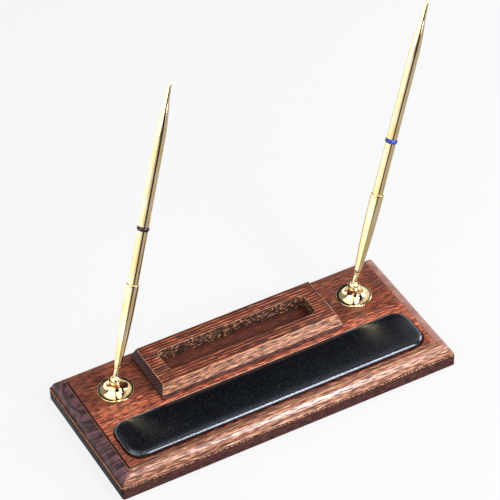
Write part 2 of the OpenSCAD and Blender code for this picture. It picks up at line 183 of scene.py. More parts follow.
bevelGrain = {**blockGrain, "dark": "84462b", "mid": "bc744c", "light": "e6a67c", "pore": "4e3836",
              "ringPitch": 0.0013, "poreSize": (190, 1700), "ringDepth": 0.45, "poreDepth": 0.95,
              "roughness": 0.4, "coat": 0.2}
stripGrain = {**fasciaGrain, "dark": "553835", "mid": "6c4a47", "light": "8a625a", "pore": "392424"}
# What all faces along the grain share
fibres = {"sway": (5, 24, 24), "strand": (30, 700, 700), "strandEdge": (0.35, 0.65), "strandRise": 0.5,
          "poreEdge": (0.52, 0.64), "poreGaps": (0.34, 0.48), "poreRing": (0.1, 0.8), "poreLeast": 0.6,
          "fineAlong": 3, "fineThick": 1.7, "fineEdge": (0.54, 0.70), "fineDepth": 0.5,
          "strandMatt": 0.12, "poreMatt": 0.3, "poreBare": 0.8, "coatRoughness": 0.2,
          "relief": (0.00012, 0.6)}
# Warmer, paler wood in front of a dark line that crosses the board
frontZone = {"middle": 0.0055, "slope": 0.0405, "sway": 0.004, "tint": (2.25, 2.5, 2.85, 1.0),
             "edge": (-0.001, 0.001), "fade": (-0.040, -0.022), "least": 0.3,
             "line": "3a170f", "lineWidth": (0.0003, 0.0012), "lineGaps": (0.35, 0.5), "lineDepth": 0.8}
# Painted shade on the floor of the block's slot, so that it reads as a recess
slotShade = {"halfLength": 0.0564, "halfWidth": 0.0104, "middle": 0.0208, "soft": 0.0002,
             "tint": (0.45, 0.38, 0.39, 1.0)}
# Heights of the moulding: a pale line along the crest, the arris, rubbed pale and given a painted
# highlight, and the quirk, darkened by painted shade
profile = {"crest": (0.01772, 0.01775, 0.01779, 0.01781), "quirkShade": (0.01776, 0.01780, 0.0188, 0.0191),
           "arris": (0.0097, 0.0099, 0.01015, 0.01025), "pale": "c58a64", "quirkShadeColour": "130806",
           "rubbedAndLit": "c8784a", "bareAndLit": "edc09a", "rubSize": (800, 800, 900), "rubEdge": (0.48, 0.66)}


# 1 between the two middle limits, with soft steps on both sides
def band(value, limits):
    return value.step(limits[0], limits[1]) * (1 - value.step(limits[2], limits[3]))


def mouldingTint(place, colour, grain):
    height = place.part(2)
    colour = (band(height, profile["crest"]) * grain["crest"]).mixed(colour, profile["pale"])
    rub = place.noise(profile["rubSize"], detail=1.0, roughness=0.6)
    rubbedAndLit = rub.step(*profile["rubEdge"]).mixed(profile["rubbedAndLit"], profile["bareAndLit"])
    # The arris: stain rubbed pale, and partly a painted highlight line
    colour = (band(height, profile["arris"]) * rub.step(*grain["rub"])).mixed(colour, rubbedAndLit)
    # Painted shade in the quirk's inner corner
    return (band(height, profile["quirkShade"]) * grain["quirkShade"]).mixed(colour, profile["quirkShadeColour"])


def zoneTint(place, sway, pores, colour):
    zone, slot = frontZone, slotShade
    offset = place.part(1) - zone["middle"] + place.part(0) * zone["slope"] + sway * zone["sway"]
    warm = 1 - offset.step(*zone["edge"])
    warm *= zone["least"] + (1 - zone["least"]) * offset.step(*zone["fade"])
    colour = warm.tinted(colour, zone["tint"])
    line = (1 - offset.size().step(*zone["lineWidth"])) * pores.step(*zone["lineGaps"])
    colour = (line * zone["lineDepth"]).mixed(colour, zone["line"])
    # Painted shade on the slot's floor
    along = place.part(0).size()
    across = (place.part(1) - slot["middle"]).size()
    inside = 1 - along.step(slot["halfLength"], slot["halfLength"] + slot["soft"])
    inside *= 1 - across.step(slot["halfWidth"], slot["halfWidth"] + slot["soft"])
    return inside.tinted(colour, slot["tint"])


# Distance from the pith line, wavering along the grain
def pithDistance(place, grain, sway):
    across = place.part(1) - grain["pith"][0]
    above = place.part(2) - grain["pith"][1]
    return (across * across + above * above).root() + sway * grain["wave"]


def woodFinish(name, grain, moulded=False, zoned=False):
    material, place = startFinish(name)
    sway = place.noise(fibres["sway"], detail=1.0) - 0.5
    ring = ((pithDistance(place, grain, 2 * sway) / grain["ringPitch"]).fract() * 2 - 1).size()
    strand = place.noise(fibres["strand"], detail=1.0)
    along, thick = grain["poreSize"]
    pores = place.noise((along, thick, thick), detail=0.0)
    along, thick = along * fibres["fineAlong"], thick * fibres["fineThick"]
    fine = place.noise((along, thick, thick), detail=0.0)
    poreMask = fibres["poreLeast"] + (1 - fibres["poreLeast"]) * ring.step(*fibres["poreRing"])
    poreMask *= pores.step(*fibres["poreEdge"])
    fineMask = fine.step(*fibres["fineEdge"]) * fibres["fineDepth"]
    ringMask = ring.step(*grain["ringEdge"]) * grain["ringDepth"]
    colour = strand.step(*fibres["strandEdge"]).mixed(grain["dark"], grain["mid"])
    colour = (1 - pores.step(*fibres["poreGaps"])).mixed(colour, grain["light"])
    if zoned:
        colour = zoneTint(place, sway, pores, colour)
    colour = ringMask.mixed(colour, grain["dark"])
    for mask in (poreMask, fineMask):
        colour = (mask * grain["poreDepth"]).mixed(colour, grain["pore"])
    if moulded:
        colour = mouldingTint(place, colour, grain)
    relief = fibres["strandRise"] * strand - poreMask
    return connect(material, place, {
        "Base Color": colour,
        "Roughness": grain["roughness"] + fibres["strandMatt"] * strand + fibres["poreMatt"] * poreMask,
        "Coat Weight": grain["coat"] * (1 - fibres["poreBare"] * poreMask),
        "Coat Roughness": fibres["coatRoughness"], "Specular IOR Level": grain["shine"],
        "Normal": relief.bump(*fibres["relief"]),
    })


# End grain: darker stain, ring lines across it and pores as dots; the right end is painted paler, as
# painted light
boardEndGrain = {**boardGrain, "dark": "2f1c22", "mid": "7c565b", "light": "a87469", "pore": "2e1d23",
                 "lineDepth": 0.15, "lineWidth": (0.66, 0.80, 0.86, 0.96), "shadeDepth": 0.95,
                 "shine": 0.25, "rub": (0.15, 0.30), "quirkShade": 1.0, "crest": 0.35,
                 # Paler colours for the right end: painted light
                 "right": ("96655c", "c39284")}
blockEndGrain = {**blockGrain, "pith": (-0.176, -0.324), "ringPitch": 0.0016, "wave": 0.0004,
                 "dark": "1e1012", "mid": "2f1c1f", "light": "6f4a47", "pore": "190d0f",
                 "lineDepth": 0.85, "lineWidth": (0.25, 0.45, 0.65, 0.85), "shadeDepth": 0.3,
                 "shine": 0.1}
# End fascias: end grain in darker colours, partly painted shade like the fascia
sideGrain = {**boardEndGrain, "dark": "16161f", "mid": "232130", "light": "372f38", "pore": "0f0e16",
             "lineDepth": 0.4, "shine": 0.04}
# What all end faces share
ends = {"sway": (40, 70, 70), "shade": (0.38, 0.48, 0.56, 0.64), "cloud": (60, 160, 160),
        "cloudEdge": (0.35, 0.65), "dot": (900, 1800, 1800), "dotEdge": (0.50, 0.64),
        "dotDepth": 0.5, "dotMatt": 0.2, "rightLitCloud": (0.3, 0.7), "rightLitStart": (0.10, 0.11),
        "rightLitDepth": 0.7, "roughness": 0.42, "coat": 0.4, "coatRoughness": 0.3,
        "relief": (0.00012, 0.5)}


def endFinish(name, grain, moulded=False):
    material, place = startFinish(name)
    sway = place.noise(ends["sway"]) - 0.5
    ring = (pithDistance(place, grain, sway) / grain["ringPitch"]).fract()
    line = band(ring, grain["lineWidth"])
    shade = band(ring, ends["shade"])
    speck = place.noise(ends["dot"], roughness=0.6).step(*ends["dotEdge"])
    cloud = place.noise(ends["cloud"])
    colour = cloud.step(*ends["cloudEdge"]).mixed(grain["mid"], grain["dark"])
    colour = (shade * grain["shadeDepth"]).mixed(colour, grain["dark"])
    colour = (line * grain["lineDepth"]).mixed(colour, grain["light"])
    colour = (speck * ends["dotDepth"]).mixed(colour, grain["pore"])
    if moulded:
        # Painted light: the right end is made paler
        pale = cloud.step(*ends["rightLitCloud"]).mixed(*grain["right"])
        rightLitMask = place.part(0).step(*ends["rightLitStart"])
        colour = (rightLitMask * ends["rightLitDepth"]).mixed(colour, pale)
        colour = mouldingTint(place, colour, grain)
    return connect(material, place, {
        "Base Color": colour,
        "Roughness": ends["roughness"] + ends["dotMatt"] * speck,
        "Coat Weight": ends["coat"] * grain["shine"], "Coat Roughness": ends["coatRoughness"],
        "Specular IOR Level": grain["shine"],
        "Normal": (0 - speck).bump(*ends["relief"]),
    })


# Pale arrises: stain rubbed through, and a painted highlight line, which gives way to the unlit stain
# along the right of the pad's recess
wearAndHighlightLook = {"stained": "b0643a", "bareAndLit": "f2bd92", "unlitStain": "7a3824", "rubSize": (160, 400, 400),
            "rubEdge": (0.35, 0.65), "unlitStainRight": (0.03, 0.06), "unlitStainFront": (-0.006, -0.004),
            "unlitStainDepth": 0.8, "roughness": 0.3, "rubMatt": 0.2, "coat": 0.4, "coatRoughness": 0.2}


def wearAndHighlightFinish(name):
    look = wearAndHighlightLook
    material, place = startFinish(name)
    rub = place.noise(look["rubSize"], detail=3.0, roughness=0.6)
    colour = rub.step(*look["rubEdge"]).mixed(look["stained"], look["bareAndLit"])
    # The painted highlight fades to the stain colour at the recess's right
    unlitStain = place.part(0).step(*look["unlitStainRight"]) * (1 - place.part(1).step(*look["unlitStainFront"]))
    colour = (unlitStain * look["unlitStainDepth"]).mixed(colour, look["unlitStain"])
    return connect(material, place, {
        "Base Color": colour, "Roughness": look["roughness"] + look["rubMatt"] * rub,
        "Coat Weight": look["coat"], "Coat Roughness": look["coatRoughness"],
    })


# Walls of the routed slot: torn fibres, little polish
routedLook = {"hollow": "1c0d09", "wall": "5d3425", "torn": "d8a27c", "tornSize": (420, 620, 620),
              "chipSize": (420, 900, 700), "wallEdge": (0.42, 0.56), "tornEdge": (0.54, 0.64),
              "chipEdge": (0.1, 0.5), "chipRise": 0.5, "roughness": 0.62, "tornMatt": 0.2,
              "relief": (0.0006, 0.9)}


def routedFinish(name):
    look = routedLook
    material, place = startFinish(name)
    torn = place.noise(look["tornSize"], detail=3.0, roughness=0.7)
    chips = place.cells(look["chipSize"])
    colour = torn.step(*look["wallEdge"]).mixed(look["hollow"], look["wall"])
    bareAndLit = torn.step(*look["tornEdge"]) * chips.step(*look["chipEdge"])
    relief = torn + look["chipRise"] * chips
    return connect(material, place, {
        "Base Color": bareAndLit.mixed(colour, look["torn"]),
        "Roughness": look["roughness"] + look["tornMatt"] * torn,
        "Normal": relief.bump(*look["relief"]),
    })


# Black smooth leather with a fine pebble and faintly paler tips
leatherLook = {"deep": "020308", "worn": "06080f", "cloud": 25, "cloudEdge": (0.3, 0.8),
               "tip": "2c313c", "tipSize": 0.0009, "tipEdge": (0.54, 0.70), "tipDepth": 0.7,
               "pebble": 0.0009, "pebbleRise": 0.7, "crease": 0.4, "creaseRise": 0.6,
               "relief": (0.00012, 0.6),
               "roughness": 0.10, "creaseMatt": 0.12, "cloudMatt": 0.06,
               "shine": 0.8, "shineTint": (0.82, 0.88, 1.0, 1.0),
               "sheen": 0.05, "sheenRoughness": 0.35, "sheenTint": (0.8, 0.82, 1.0, 1.0)}


def leatherFinish(name):
    look = leatherLook
    material, place = startFinish(name)
    scale = 1 / look["pebble"]
    pebble = place.cells(even(scale), "SMOOTH_F1")
    crease = place.noise(even(scale * look["crease"]), detail=3.0, roughness=0.6)
    cloud = place.noise(even(look["cloud"]), detail=3.0)
    tips = place.noise(even(1 / look["tipSize"]), detail=1.0, roughness=0.6).step(*look["tipEdge"])
    colour = cloud.step(*look["cloudEdge"]).mixed(look["deep"], look["worn"])
    colour = (tips * look["tipDepth"]).mixed(colour, look["tip"])
    relief = pebble * look["pebbleRise"] + crease * look["creaseRise"]
    return connect(material, place, {
        "Base Color": colour,
        "Roughness": look["roughness"] + look["creaseMatt"] * crease + look["cloudMatt"] * cloud,
        "Normal": relief.bump(*look["relief"]),
        "Specular IOR Level": look["shine"], "Specular Tint": look["shineTint"],
        "Sheen Weight": look["sheen"], "Sheen Roughness": look["sheenRoughness"],
        "Sheen Tint": look["sheenTint"],
    })


# Polished gold plate on brass, with faint polishing marks
goldLook = {"bright": "fbe6bf", "deep": "efcf93", "cloud": 60, "cloudEdge": (0.25, 0.75),
            "marks": (2200, 2200, 240), "markEdge": (0.5, 0.75),
            "roughness": 0.04, "markMatt": 0.05, "cloudMatt": 0.03}


def goldFinish(name):
    look = goldLook
    material, place = startFinish(name)
    cloud = place.noise(even(look["cloud"]), detail=3.0)
    marks = place.noise(look["marks"], roughness=0.6).step(*look["markEdge"])
    colour = cloud.step(*look["cloudEdge"]).mixed(look["deep"], look["bright"])
    roughness = look["roughness"] + look["markMatt"] * marks + look["cloudMatt"] * cloud
    return connect(material, place, {"Base Color": colour, "Metallic": 1.0, "Roughness": roughness})


# Short-fibred felt
feltLook = {"low": "18241c", "high": "33473a", "fuzz": 2600, "cloud": 90, "fuzzShare": 0.6,
            "edge": (0.35, 0.65), "roughness": 0.95, "sheen": 0.4, "relief": (0.0004, 0.8)}


def feltFinish(name):
    look = feltLook
    material, place = startFinish(name)
    fuzz = place.noise(even(look["fuzz"]), detail=4.0, roughness=0.7)
    cloud = place.noise(even(look["cloud"]))
    blend = look["fuzzShare"] * fuzz + (1 - look["fuzzShare"]) * cloud
    return connect(material, place, {
        "Base Color": blend.step(*look["edge"]).mixed(look["low"], look["high"]),
        "Roughness": look["roughness"], "Sheen Weight": look["sheen"],
        "Normal": fuzz.bump(*look["relief"]),
    })


# Plain turned, moulded or pressed finishes for the small pieces
plainLook = {"fine": 6, "edge": (0.3, 0.7), "cloudMatt": 0.12, "relief": (0.00003, 0.3)}


def plainFinish(name, low, high, scale, roughness, metallic=0.0):
    material, place = startFinish(name)
    cloud = place.noise(even(scale), detail=3.0, roughness=0.6)
    fine = place.noise(even(scale * plainLook["fine"]))
    return connect(material, place, {
        "Base Color": cloud.step(*plainLook["edge"]).mixed(low, high),
        "Roughness": roughness + plainLook["cloudMatt"] * cloud, "Metallic": metallic,
        "Normal": fine.bump(*plainLook["relief"]),
    })


boardWood = woodFinish("boardWood", boardGrain, moulded=True, zoned=True)
frontWood = woodFinish("mouldingWood", frontGrain, moulded=True)
bevelWood = woodFinish("bevelWood", bevelGrain)
stripWood = woodFinish("stripWood", stripGrain)
fasciaWood = woodFinish("fasciaWood", fasciaGrain, moulded=True)
blockWood = woodFinish("blockWood", blockGrain)
boardEnd = endFinish("boardEndGrain", boardEndGrain, moulded=True)
boardSide = endFinish("boardSideGrain", sideGrain, moulded=True)
blockEnd = endFinish("blockEndGrain", blockEndGrain)
wearAndHighlightWood = wearAndHighlightFinish("arrisWearAndPaintedHighlight")
routedWood = routedFinish("routedSlot")
leather = leatherFinish("blackLeather")
gold = goldFinish("goldPlate")
felt = feltFinish("greenFelt")
steel = plainFinish("plainSteel", "8f9296", "b4b7ba", scale=300, roughness=0.28, metallic=1.0)
brightSteel = plainFinish("refillSteel", "84868a", "a9abb0", scale=400, roughness=0.3, metallic=1.0)
whitePlastic = plainFinish("seatPlastic", "d8d4c6", "e8e5da", scale=200, roughness=0.4)
darkPlastic = plainFinish("linerPlastic", "1d1f22", "2c2e32", scale=300, roughness=0.45)
backing = plainFinish("fibreBoard", "75593a", "937551", scale=500, roughness=0.75)
blackRing = plainFinish("blackRing", "0c0d10", "1a1c22", scale=300, roughness=0.16)
blueRing = plainFinish("blueRing", "0f2f9e", "2350d0", scale=300, roughness=0.18)
print("finishes made:", len(bpy.data.materials))


# Modelling helpers: how far a cutting tool reaches past its piece, how finely rounds are cut, and the
# least part of a normal that counts as upwards
tools = {"past": 0.01, "cornerSteps": 10, "rodSides": 48, "bevelSteps": 2, "upwards": 0.9}


def setMode(name):
    bpy.ops.object.mode_set(mode=name)


def selectAll():
    bpy.ops.mesh.select_all(action="SELECT")


# Grows the selected points, edges or faces by a move
def extrude(move):
    bpy.ops.mesh.extrude_region_move(TRANSFORM_OT_translate={"value": move})


def resize(scale, centre):
    bpy.ops.transform.resize(value=scale, center_override=centre)


def clearSelection():
    if bpy.context.object and bpy.context.object.mode != "OBJECT":
        setMode("OBJECT")
    bpy.ops.object.select_all(action="DESELECT")


# Names the new primitive, applies its place and goes into edit mode
def startPiece(name):
    piece = bpy.context.object
    piece.name = piece.data.name = name
    bpy.ops.object.transform_apply(location=True, rotation=True, scale=True)
    setMode("EDIT")
    return piece


# Selects edges or faces in edit mode by a test
def pick(piece, kind, test):
    bpy.ops.mesh.select_mode(type=kind)
    bpy.ops.mesh.select_all(action="DESELECT")
    mesh = bmesh.from_edit_mesh(piece.data)
    for part in {"EDGE": mesh.edges, "FACE": mesh.faces}[kind]:
        if test(part):
            part.select_set(True)
    mesh.select_flush_mode()
    bmesh.update_edit_mesh(piece.data)


def facesUp(face):
    return face.normal.z > tools["upwards"]


# Turns all faces outwards and leaves edit mode
def endEdit():
    selectAll()
    bpy.ops.mesh.normals_make_consistent(inside=False)
    setMode("OBJECT")


def select(piece):
    clearSelection()
    piece.select_set(True)
    bpy.context.view_layer.objects.active = piece


def applyModifier(piece, name, kind, settings):
    select(piece)
    modifier = piece.modifiers.new(name, kind)
    for key, value in settings.items():
        setattr(modifier, key, value)
    bpy.ops.object.modifier_apply(modifier=modifier.name)


# Bevels the edges that are sharper than an angle
def softenEdges(piece, width, angle, material=-1):
    applyModifier(piece, "soften", "BEVEL", {
        "width": width, "segments": tools["bevelSteps"], "limit_method": "ANGLE",
        "angle_limit": math.radians(angle), "material": material})


# Cuts a piece with a closed tool by a boolean and throws the tool away
def cut(piece, tool, operation="DIFFERENCE"):
    applyModifier(piece, "cut", "BOOLEAN", {"operation": operation, "solver": "EXACT", "object": tool})
    bpy.data.objects.remove(tool)


# Upright block with round corners between two heights
def roundedBlock(name, middle, length, width, radius, foot, top):
    clearSelection()
    bpy.ops.mesh.primitive_plane_add(size=1, location=(middle[0], middle[1], foot))
    bpy.context.object.scale = (length, width, 1)
    piece = startPiece(name)
    selectAll()
    bpy.ops.mesh.bevel(offset=radius, segments=tools["cornerSteps"], affect="VERTICES")
    selectAll()
    extrude((0, 0, top - foot))
    endEdit()
    return piece


# Tool that slopes the top edge of a rounded recess by 45 degrees
def slopedTool(name, middle, length, width, radius, slope, top):
    piece = roundedBlock(name, middle, length, width, radius, top - slope, top + slope)
    select(piece)
    setMode("EDIT")
    pick(piece, "FACE", facesUp)
    spread = ((length + 4 * slope) / length, (width + 4 * slope) / width, 1)
    resize(spread, (middle[0], middle[1], top))
    setMode("OBJECT")
    return piece


def uprightRod(name, middle, radius, foot, top):
    clearSelection()
    bpy.ops.mesh.primitive_cylinder_add(vertices=tools["rodSides"], radius=radius, depth=top - foot,
                                        location=(middle[0], middle[1], (foot + top) / 2))
    piece = startPiece(name)
    setMode("OBJECT")
    return piece


# Points of an elliptical arc, angles in degrees
def arc(centre, radii, start, end, steps):
    points = []
    for i in range(steps + 1):
        angle = math.radians(start + (end - start) * i / steps)
        points.append((centre[0] + radii[0] * math.cos(angle), centre[1] + radii[1] * math.sin(angle)))
    return points


# Size of the point that an outline grows from, and the gap at which its seam is welded
turning = {"seed": 0.001, "weld": 0.000002}


# Turns an outline of (radius, height) points round the Z axis and sets it in its place
def turned(name, outline, place, steps):
    clearSelection()
    bpy.ops.mesh.primitive_plane_add(size=turning["seed"])
    piece = startPiece(name)
    bpy.ops.mesh.select_mode(type="VERT")
    selectAll()
    bpy.ops.mesh.merge(type="CENTER")
    spot = outline[0]
    bpy.ops.transform.translate(value=(spot[0], 0, spot[1]))
    for point in outline[1:]:
        move = (point[0] - spot[0], 0, point[1] - spot[1])
        extrude(move)
        spot = point
    selectAll()
    bpy.ops.mesh.spin(steps=steps, angle=2 * math.pi, center=(0, 0, 0), axis=(0, 0, 1))
    selectAll()
    bpy.ops.mesh.remove_doubles(threshold=turning["weld"])
    endEdit()
    piece.matrix_world = place
    select(piece)
    bpy.ops.object.transform_apply(location=True, rotation=True, scale=True)
    return piece


# Puts finishes by name in a piece's material slots and gives their numbers
def addFinishes(piece, finishes):
    for material in finishes.values():
        piece.data.materials.append(material)
    return {name: number for number, name in enumerate(finishes)}


# Shading, body and replaced nodes of a finished piece
def finish(piece, body, replaced, angle):
    select(piece)
    bpy.ops.object.shade_smooth_by_angle(angle=math.radians(angle))
    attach(piece, body)
    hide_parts(*replaced)
    print("piece made:", piece.name, len(piece.data.polygons), "faces")


# Camera, at the photograph's angle
view = {"azimuth": -27.24, "elevation": 41.48, "roll": -2.2, "lens": 207.04, "sensor": 36.0,
        "aside": -0.00201, "above": 0.08664, "away": 1.94047, "boardTop": 0.016,
        "nearest": 0.05, "farthest": 50}


def makeCamera():
    azimuth, elevation, roll = (math.radians(view[key]) for key in ("azimuth", "elevation", "roll"))
    back = Vector((math.sin(azimuth) * math.cos(elevation),
                   -math.cos(azimuth) * math.cos(elevation), math.sin(elevation)))
    level = Vector((math.cos(azimuth), math.sin(azimuth), 0))
    upright = back.cross(level)
    right = math.cos(roll) * level + math.sin(roll) * upright
    up = math.cos(roll) * upright - math.sin(roll) * level
    spot = back * view["away"] + right * view["aside"] + up * view["above"]
    spot.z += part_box("base_board")[1].z - view["boardTop"]
    camera = bpy.data.cameras.new("camera")
    camera.lens = view["lens"]
    camera.sensor_width = view["sensor"]
    camera.clip_start = view["nearest"]
    camera.clip_end = view["farthest"]
    holder = bpy.data.objects.new("camera", camera)
    bpy.context.scene.collection.objects.link(holder)
    turn = Matrix((right, up, back)).transposed().to_4x4()
    holder.matrix_world = Matrix.Translation(spot) @ turn
    bpy.context.scene.camera = holder


makeCamera()
print("camera set")


# Base board: slab, moulding by insets, pad recess and fastener holes
board = {"fascia": 0.009, "ledge": 0.0008, "cove": 0.0008, "coveSteps": 4, "ovolo": 0.0068,
         "endOvolo": 0.0081, "ovoloSteps": 14, "quirkWidth": 0.0006, "quirkHeight": 0.0014,
         "corner": 0.002, "arris": 0.00035, "arrisAngle": 50, "moulding": 0.0091,
         "recessSlope": 0.0005, "groove": 0.0006, "padCorner": 0.011,
         "studHole": 0.0042, "nutPocket": 0.009, "pocketDepth": 0.008,
         "slack": 0.0001, "mitreSlack": 0.01, "slopeFacing": (0.4, 0.9), "frontFacing": -0.3}
boardFinishes = {"top": boardWood, "worn": wearAndHighlightWood, "end": boardEnd, "fascia": fasciaWood,
                 "side": boardSide, "front": frontWood}


# Steps inwards and upwards from the foot of the moulding to the flat top, and the extra at the ends
def mouldingSteps():
    steps = [(board["arris"], board["arris"], 0), (board["ledge"] - board["arris"], 0, 0)]
    hollow = arc((0, board["cove"]), (board["cove"], board["cove"]), -90, 0, board["coveSteps"])
    steps += [(b[0] - a[0], b[1] - a[1], 0) for a, b in zip(hollow, hollow[1:])]
    share = board["endOvolo"] / board["ovolo"] - 1
    swell = arc((0, 0), (board["ovolo"], board["ovolo"]), 0, 90, board["ovoloSteps"])
    steps += [(a[0] - b[0], b[1] - a[1], share * (a[0] - b[0])) for a, b in zip(swell, swell[1:])]
    return steps + [(board["quirkWidth"], 0, 0)]


# Name of the finish that a face takes: the sloped back edge of the recess, the ends, the fascia, the
# front moulding or the top
def boardFinish(face, low, high, edge):
    normal, spot = face.normal, face.center
    moulded = spot.z > low.z + board["fascia"] + board["slack"]
    beyond = abs(spot.x) > edge[0] or abs(spot.y) > edge[1]
    least, most = board["slopeFacing"]
    sloped = least < normal.z < most and normal.y < board["frontFacing"]
    # The recess's back slope, which faces the front, takes the pale arris finish: stain rubbed through
    # and a painted highlight line
    if sloped and not beyond and spot.z > high.z - board["recessSlope"]:
        return "worn"
    if abs(spot.x) > edge[0] and abs(normal.x) > abs(normal.y) - board["mitreSlack"]:
        return "end" if moulded else "side"
    if not moulded:
        return "fascia"
    return "front" if beyond and spot.y < 0 else "top"


def makeBoard():
    low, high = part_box("base_board")
    size = high - low
    clearSelection()
    slab = board["fascia"] - board["arris"]
    bpy.ops.mesh.primitive_cube_add(size=1, location=(0, 0, low.z + slab / 2))
    bpy.context.object.scale = (size.x, size.y, slab)
    piece = startPiece("baseBoardOak")
    pick(piece, "FACE", facesUp)
    half = size.x / 2
    for inset, rise, more in mouldingSteps():
        bpy.ops.mesh.inset(thickness=inset, depth=rise)
        half -= inset
        resize(((half - more) / half, 1, 1), (0, 0, 0))
        half -= more
    extrude((0, 0, board["quirkHeight"]))
    setMode("OBJECT")
    foot, top = low.z - tools["past"], high.z + tools["past"]
    rounding = roundedBlock("boardCorners", (0, 0), size.x, size.y, board["corner"], foot, top)
    cut(piece, rounding, "INTERSECT")
    padLow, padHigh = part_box("pad_cover")
    middle = (padLow + padHigh) / 2
    length, width = (padHigh[axis] - padLow[axis] + 2 * board["groove"] for axis in (0, 1))
    corner = board["padCorner"] + board["groove"]
    cut(piece, roundedBlock("padRecess", middle, length, width, corner, padLow.z, top))
    cut(piece, slopedTool("recessArris", middle, length, width, corner, board["recessSlope"], high.z))
    for side in ("left", "right"):
        spot = joints[side + "_turn"]["pos_m"]
        cut(piece, uprightRod("studHole", spot, board["studHole"], foot, top))
        cut(piece, uprightRod("nutPocket", spot, board["nutPocket"], foot, low.z + board["pocketDepth"]))
    slots = addFinishes(piece, boardFinishes)
    softenEdges(piece, board["arris"], board["arrisAngle"])
    edge = (half + board["slack"], size.y / 2 - board["moulding"])
    for face in piece.data.polygons:
        face.material_index = slots[boardFinish(face, low, high, edge)]
    finish(piece, "stand", ["base_board"], angle=30)


# Slotted block: foot strip, sloped faces and the slot right through it
block = {"strip": 0.0034, "ledge": 0.0004, "sideBevel": 0.0032, "endBevel": 0.0022, "arris": 0.00022,
         "arrisAngle": 20, "slotLength": 0.1125, "slotWidth": 0.0204, "slotCorner": 0.0045,
         "slack": 0.0001, "slotSlack": 0.0002, "wallFacing": 0.5, "sideFacing": 0.6}
blockFinishes = {"top": blockWood, "worn": wearAndHighlightWood, "end": blockEnd, "slot": routedWood,
                 "bevel": bevelWood, "strip": stripWood}


# Name of the finish that a face takes: the slot's walls, the ends, the strip, the long bevels or the top
def blockFinish(face, low, middle):
    normal, spot = face.normal, face.center
    inLength = abs(spot.x) < block["slotLength"] / 2 + block["slotSlack"]
    inWidth = abs(spot.y - middle.y) < block["slotWidth"] / 2 + block["slotSlack"]
    if inLength and inWidth and abs(normal.z) < block["wallFacing"]:
        return "slot"
    if abs(normal.x) > block["sideFacing"]:
        return "end"
    if spot.z < low.z + block["strip"] + block["slack"]:
        return "strip"
    return "bevel" if abs(normal.y) > block["sideFacing"] else "top"


def makeBlock():
    low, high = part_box("phone_block")
    size, middle = high - low, (low + high) / 2
    clearSelection()
    bpy.ops.mesh.primitive_cube_add(size=1, location=(middle.x, middle.y, low.z + block["strip"] / 2))
    bpy.context.object.scale = (size.x, size.y, block["strip"])
    piece = startPiece("phoneBlockOak")
    pick(piece, "FACE", facesUp)
    bpy.ops.mesh.inset(thickness=block["ledge"], depth=0)
    extrude((0, 0, size.z - block["strip"]))
    half = (size.x / 2 - block["ledge"], size.y / 2 - block["ledge"])
    shrink = ((half[0] - block["endBevel"]) / half[0], (half[1] - block["sideBevel"]) / half[1], 1)
    resize(shrink, (middle.x, middle.y, high.z))
    setMode("OBJECT")
    cut(piece, roundedBlock("slotTool", middle, block["slotLength"], block["slotWidth"],
                            block["slotCorner"], low.z - tools["past"], high.z + tools["past"]))
    slots = addFinishes(piece, blockFinishes)
    softenEdges(piece, block["arris"], block["arrisAngle"], slots["worn"])
    # Arrises above the foot strip keep the pale arris finish: stain rubbed through and a painted
    # highlight line
    for face in piece.data.polygons:
        if face.material_index != slots["worn"] or face.center.z <= high.z - block["strip"]:
            face.material_index = slots[blockFinish(face, low, middle)]
    finish(piece, "stand", ["phone_block"], angle=25)


# Leather pad: a grid drawn over a rolled edge, then swollen by a cloth run
pad = {"columns": 84, "rows": 18, "crowd": (1.7, 2.1), "corner": 0.011,
       "roll": 0.0042, "rollHeight": 0.0030, "fullness": 2.3, "crown": 0.0007, "blend": 3,
       "least": 0.0001, "sink": 0.002, "tuck": 0.0008, "held": 0.0004, "pressure": 4.0,
       "stiffness": 40, "bending": 8, "swell": 0.0003, "frames": 8, "substeps": 2}


# Height of the leather above its foot line, by the distances from the ends and from the sides
def padHeight(edge, fromEnd, fromSide, half):
    if edge < pad["roll"]:
        rise = max(0, 1 - (1 - edge / pad["roll"]) ** pad["fullness"])
        return pad["rollHeight"] * rise ** (1 / pad["fullness"])
    blend = pad["blend"]
    inner = sum(max(away, pad["least"]) ** -blend for away in (fromEnd, fromSide)) ** (-1 / blend)
    share = min(1, max(0, (inner - pad["roll"]) / (half - pad["roll"])))
    return pad["rollHeight"] + pad["crown"] * (1 - (1 - share) ** 2)


def shapePad(piece, middle, reach, foot):
    corner = pad["corner"]
    for vertex in piece.data.vertices:
        spot = []
        for value, half, crowd in zip(vertex.co, reach, pad["crowd"]):
            spot.append(math.copysign(half * (1 - (1 - min(1, abs(value))) ** crowd), value))
        fromEnd, fromSide = reach[0] - abs(spot[0]), reach[1] - abs(spot[1])
        edge = min(fromEnd, fromSide)
        inEnd, inSide = (corner - fromEnd) / corner, (corner - fromSide) / corner
        if inEnd > 0 and inSide > 0:  # the square corner is drawn round
            draw = max(inEnd, inSide) / math.hypot(inEnd, inSide)
            spot[0] = math.copysign(reach[0] - corner + corner * inEnd * draw, spot[0])
            spot[1] = math.copysign(reach[1] - corner + corner * inSide * draw, spot[1])
        height = padHeight(edge, fromEnd, fromSide, reach[1])
        vertex.co = (middle.x + spot[0], middle.y + spot[1], foot + height)


